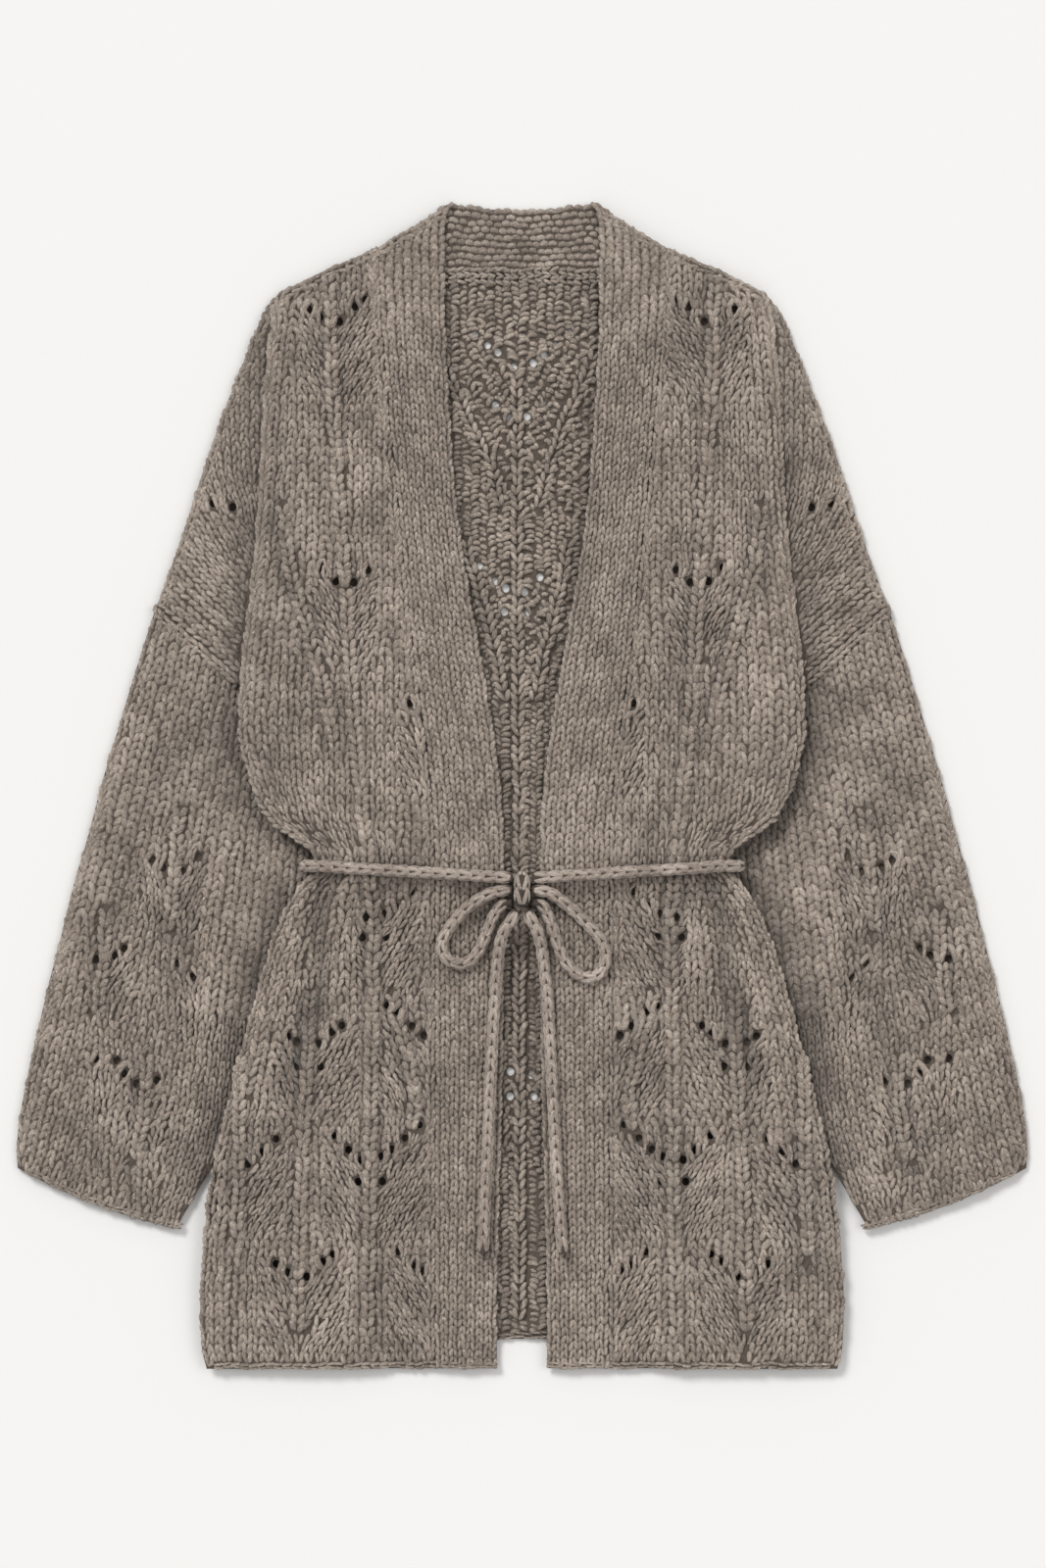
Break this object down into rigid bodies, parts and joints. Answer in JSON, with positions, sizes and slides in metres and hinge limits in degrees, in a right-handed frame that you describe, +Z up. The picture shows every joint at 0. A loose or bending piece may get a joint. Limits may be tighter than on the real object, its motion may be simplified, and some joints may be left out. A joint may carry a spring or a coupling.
{
  "type": "knitted wrap cardigan laid flat",
  "caption": "Long open-front knitted cardigan with leaf lace, dropped shoulders, wide sleeves and a tied cord belt, laid flat on its back.",
  "frame": {"origin": "on the surface that the garment lies on, under the middle of its outline", "axes": "+Y from the hem towards the neck, +Z up out of the surface, +X towards the sleeve on the right as seen from above"},
  "size_m": [0.7202, 0.831, 0.0341],
  "materials": {
    "wool": "heathered taupe chunky wool knit, matt",
    "belt_wool": "knitted cord of the same wool, a little lighter, matt"
  },
  "bodies": {
    "root": {"back": "wool", "front_left": "wool", "front_right": "wool", "sleeve_left_upper": "wool", "sleeve_left_lower": "wool", "sleeve_right_upper": "wool", "sleeve_right_lower": "wool", "band_left": "wool", "band_right": "wool", "band_neck": "wool", "belt_waist": "belt_wool", "belt_knot": "belt_wool", "belt_loop_left": "belt_wool", "belt_loop_right": "belt_wool", "belt_tail_left": "belt_wool", "belt_tail_right": "belt_wool"}
  },
  "joints": []
}
